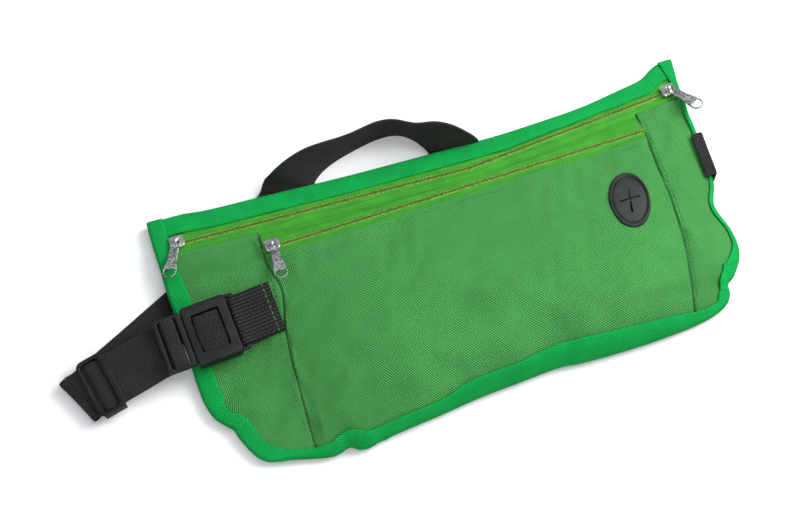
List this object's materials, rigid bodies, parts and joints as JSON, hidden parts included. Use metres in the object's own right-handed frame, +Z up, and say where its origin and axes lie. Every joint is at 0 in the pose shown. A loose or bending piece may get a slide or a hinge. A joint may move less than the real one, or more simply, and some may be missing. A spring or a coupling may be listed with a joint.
{
  "type": "hip treat pouch",
  "caption": "Green fabric hip pouch with two zips, a rubber cable port and a black webbing belt with a side-release buckle, lying on its back.",
  "frame": {"origin": "bottom centre of the bounding box, on the floor the pouch lies on", "axes": "+X along the pouch towards the end with the cable port, +Y towards its top edge, +Z up out of its front"},
  "size_m": [0.3332, 0.1522, 0.0263],
  "materials": {
    "panel_cloth": "woven matt green polyester",
    "binding_cloth": "ribbed bright green grosgrain",
    "zip_tape": "woven yellow-green zip tape",
    "zip_coil": "green nylon coil",
    "webbing": "black ribbed webbing",
    "buckle_nylon": "satin black nylon",
    "port_rubber": "dark grey moulded rubber",
    "slider_metal": "nickel plated"
  },
  "bodies": {
    "root": {"back_panel": "panel_cloth", "divider_panel": "panel_cloth", "pocket_panel": "panel_cloth", "left_end_panel": "panel_cloth", "right_end_panel": "panel_cloth", "top_binding": "binding_cloth", "edge_binding": "binding_cloth", "upper_zip_upper_tape": "zip_tape", "upper_zip_lower_tape": "zip_tape", "upper_zip_upper_coil": "zip_coil", "upper_zip_lower_coil": "zip_coil", "pocket_zip_upper_tape": "zip_tape", "pocket_zip_lower_tape": "zip_tape", "pocket_zip_upper_coil": "zip_coil", "pocket_zip_lower_coil": "zip_coil", "cable_port": "port_rubber", "buckle_tab": "webbing", "buckle_female": "buckle_nylon", "belt_arch": "webbing", "belt_right_run": "webbing", "belt_anchor": "webbing"},
    "left_slide": {"left_slider": "slider_metal"},
    "left_tab": {"left_pull": "slider_metal"},
    "right_slide": {"right_slider": "slider_metal"},
    "right_tab": {"right_pull": "slider_metal"},
    "pocket_slide": {"pocket_slider": "slider_metal"},
    "pocket_tab": {"pocket_pull": "slider_metal"},
    "strap_end": {"buckle_male": "buckle_nylon", "belt_top_layer": "webbing", "belt_return_layer": "webbing", "belt_lower_layer": "webbing"},
    "tongue": {"release_button": "buckle_nylon"},
    "glide": {"tri_glide": "buckle_nylon"}
  },
  "joints": [
    {"name": "left_zip", "type": "slide", "parent": "root", "child": "left_slide", "axis": [0.9993, -0.0302, 0.0197], "range_m": [0, 0.042]},
    {"name": "right_zip", "type": "slide", "parent": "root", "child": "right_slide", "axis": [-0.9943, -0.1035, 0.0272], "range_m": [0, 0.098]},
    {"name": "pocket_zip", "type": "slide", "parent": "root", "child": "pocket_slide", "axis": [0.9996, 0.0271, 0], "range_m": [0, 0.184]},
    {"name": "left_pull_hinge", "type": "hinge", "parent": "left_slide", "child": "left_tab", "pos_m": [-0.0967, 0.04589, 0.01011], "axis": [-0.9066, 0.4068, -0.1125], "range_deg": [0, 150]},
    {"name": "right_pull_hinge", "type": "hinge", "parent": "right_slide", "child": "right_tab", "pos_m": [0.15435, 0.0524, 0.01011], "axis": [-0.8467, -0.516, 0.1299], "range_deg": [0, 150]},
    {"name": "pocket_pull_hinge", "type": "hinge", "parent": "pocket_slide", "child": "pocket_tab", "pos_m": [-0.05368, 0.02885, 0.01656], "axis": [-0.9999, 0.0065, -0.0096], "range_deg": [0, 150]},
    {"name": "buckle_release", "type": "slide", "parent": "root", "child": "strap_end", "axis": [-0.9976, -0.0698, 0], "range_m": [0, 0.028], "deforming": ["release_button"]},
    {"name": "button_press", "type": "hinge", "parent": "strap_end", "child": "tongue", "pos_m": [-0.10532, -0.00578, 0.0153], "axis": [-0.0698, 0.9976, 0], "range_deg": [0, 6], "stiffness_Nm_per_rad": 0.01},
    {"name": "belt_adjust", "type": "slide", "parent": "strap_end", "child": "glide", "axis": [0.9679, 0.2146, 0.1305], "range_m": [0, 0.012], "deforming": ["belt_return_layer"]}
  ]
}
